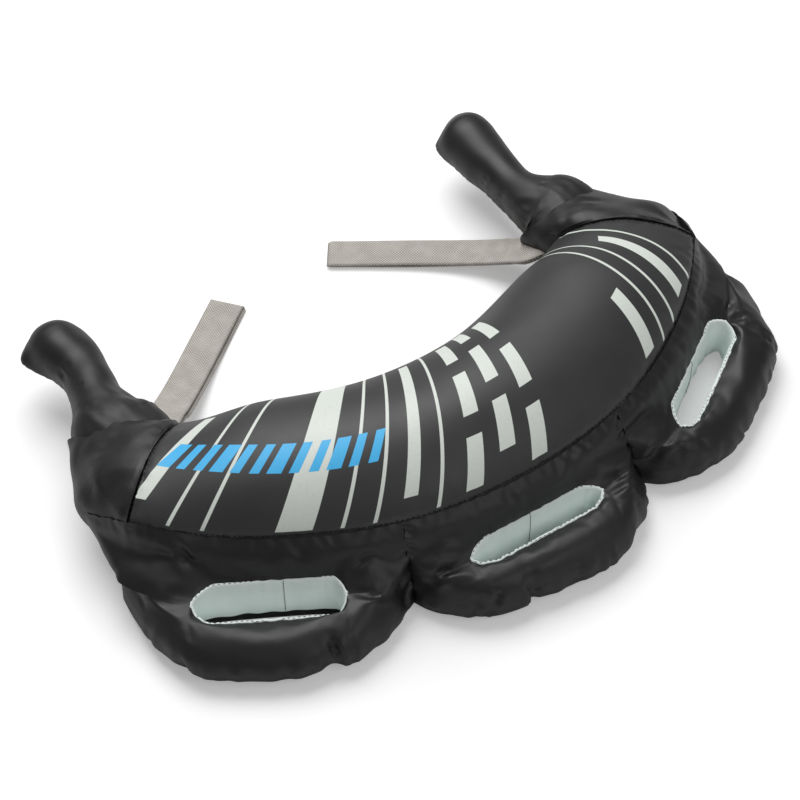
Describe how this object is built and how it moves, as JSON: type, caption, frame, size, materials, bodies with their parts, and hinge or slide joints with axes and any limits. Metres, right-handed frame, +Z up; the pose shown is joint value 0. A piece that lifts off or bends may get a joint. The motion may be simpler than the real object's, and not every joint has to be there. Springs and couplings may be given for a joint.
{
  "type": "bulgarian bag",
  "caption": "Black sand-filled crescent training bag with hand slots along its outer edge, a stuffed horn at each end and grey webbing pull straps",
  "frame": {"origin": "on the flat underside of the base panel, halfway along the crescent and on its middle line", "axes": "+X to the right along the crescent's span, +Y towards the horns, -Y towards the grips, +Z up"},
  "size_m": [0.5836, 0.444, 0.118],
  "materials": {
    "panel_leatherette": "matt black soft-grain leatherette with a pale grey-green and blue print",
    "leatherette": "soft satin black leatherette with sewn seams",
    "lining_cloth": "plain grey-green coated cloth",
    "webbing": "warm grey herringbone polypropylene webbing",
    "sand_cloth": "woven inner bag filled with sand, hidden",
    "wadding": "pressed textile wadding, hidden"
  },
  "bodies": {
    "bag": {"top_panel": "panel_leatherette", "base_panel": "leatherette", "side_band_left": "leatherette", "side_band_centre": "leatherette", "side_band_right": "leatherette", "sand_bag_left": "sand_cloth", "sand_bag_centre": "sand_cloth", "sand_bag_right": "sand_cloth", "end_cap_left": "leatherette", "cap_filling_left": "wadding", "strap_tail_left": "webbing", "end_cap_right": "leatherette", "cap_filling_right": "wadding", "strap_tail_right": "webbing"},
    "grip_left": {"grip_cover_left": "leatherette", "grip_wadding_left": "wadding", "slot_lining_left": "lining_cloth"},
    "grip_centre": {"grip_cover_centre": "leatherette", "grip_wadding_centre": "wadding", "slot_lining_centre": "lining_cloth"},
    "grip_right": {"grip_cover_right": "leatherette", "grip_wadding_right": "wadding", "slot_lining_right": "lining_cloth"},
    "horn_left": {"horn_cover_left": "leatherette", "horn_wadding_left": "wadding"},
    "horn_right": {"horn_cover_right": "leatherette", "horn_wadding_right": "wadding"},
    "strap_lift_left": {"strap_left": "webbing"},
    "strap_lift_right": {"strap_right": "webbing"}
  },
  "joints": [
    {"name": "grip_fold_left", "type": "hinge", "parent": "bag", "child": "grip_left", "pos_m": [-0.19756, -0.02011, 0.045], "axis": [-0.8434, 0.5373, 0], "range_deg": [0, 40]},
    {"name": "grip_fold_centre", "type": "hinge", "parent": "bag", "child": "grip_centre", "pos_m": [0, -0.0815, 0.045], "axis": [-1, 0, 0], "range_deg": [0, 40]},
    {"name": "grip_fold_right", "type": "hinge", "parent": "bag", "child": "grip_right", "pos_m": [0.19756, -0.02011, 0.045], "axis": [-0.8434, -0.5373, 0], "range_deg": [0, 40]},
    {"name": "horn_bend_left", "type": "hinge", "parent": "bag", "child": "horn_left", "pos_m": [-0.21302, 0.18498, 0.05], "axis": [1, 0, 0], "range_deg": [-15, 25], "stiffness_Nm_per_rad": 2},
    {"name": "horn_bend_right", "type": "hinge", "parent": "bag", "child": "horn_right", "pos_m": [0.19802, 0.18498, 0.05], "axis": [1, 0, 0], "range_deg": [-15, 25], "stiffness_Nm_per_rad": 2},
    {"name": "strap_swing_left", "type": "hinge", "parent": "bag", "child": "strap_lift_left", "pos_m": [-0.15432, 0.20258, 0.006], "axis": [0.6225, -0.7826, 0], "range_deg": [0, 70]},
    {"name": "strap_swing_right", "type": "hinge", "parent": "bag", "child": "strap_lift_right", "pos_m": [0.15452, 0.21098, 0.006], "axis": [0.5736, 0.8191, 0], "range_deg": [0, 70]}
  ]
}
